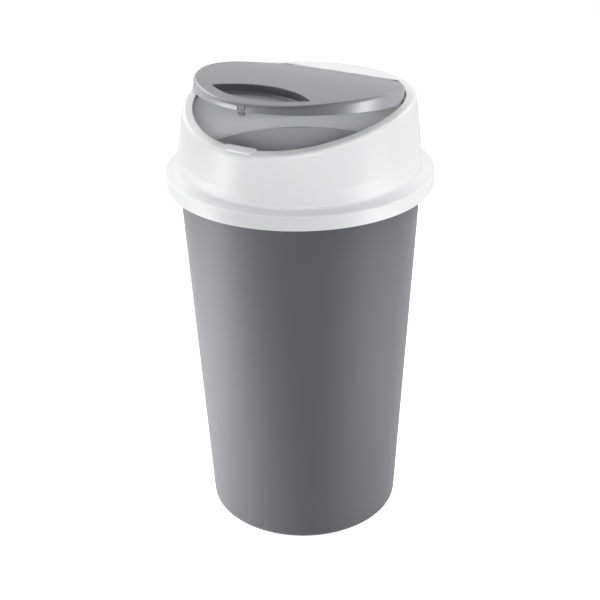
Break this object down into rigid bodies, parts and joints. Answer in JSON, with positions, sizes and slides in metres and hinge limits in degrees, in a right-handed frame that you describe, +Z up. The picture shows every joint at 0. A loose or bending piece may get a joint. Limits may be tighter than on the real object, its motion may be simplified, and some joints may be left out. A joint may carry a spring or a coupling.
{
  "type": "press-lid trash can",
  "caption": "Round tapered waste bin with a lift-off lid ring, a sprung flap hinged at the back and a front release tab with its latch.",
  "frame": {"origin": "centre of the foot, on the floor", "axes": "+Z up, front with the release tab at -Y, hinge at the back at +Y"},
  "size_m": [0.38, 0.38, 0.6786],
  "materials": {
    "body_grey": "satin mid grey polypropylene",
    "lid_white": "glossy white",
    "steel": "bright spring steel"
  },
  "bodies": {
    "bin": {"bin_body": "body_grey"},
    "lid": {"lid_ring": "lid_white", "hinge_rod": "steel", "flap_spring_left": "steel", "flap_spring_right": "steel", "latch_bracket": "lid_white", "latch_pin": "steel", "tab_spring": "steel", "latch_screw_left": "steel", "latch_screw_right": "steel"},
    "flap": {"flap": "body_grey", "striker": "body_grey"},
    "release_tab": {"release_tab": "lid_white"}
  },
  "joints": [
    {"name": "lid_lift", "type": "slide", "parent": "bin", "child": "lid", "axis": [0, 0, 1], "range_m": [0, 0.15]},
    {"name": "flap_hinge", "type": "hinge", "parent": "lid", "child": "flap", "pos_m": [0, 0.1135, 0.6447], "axis": [-1, 0, 0], "range_deg": [-13, 62], "stiffness_Nm_per_rad": 0.1258, "springref_deg": 89.52},
    {"name": "tab_pivot", "type": "hinge", "parent": "lid", "child": "release_tab", "pos_m": [0, -0.1508, 0.578], "axis": [1, 0, 0], "range_deg": [0, 4.9], "stiffness_Nm_per_rad": 0.06, "springref_deg": -17.19, "deforming": ["tab_spring"]}
  ]
}
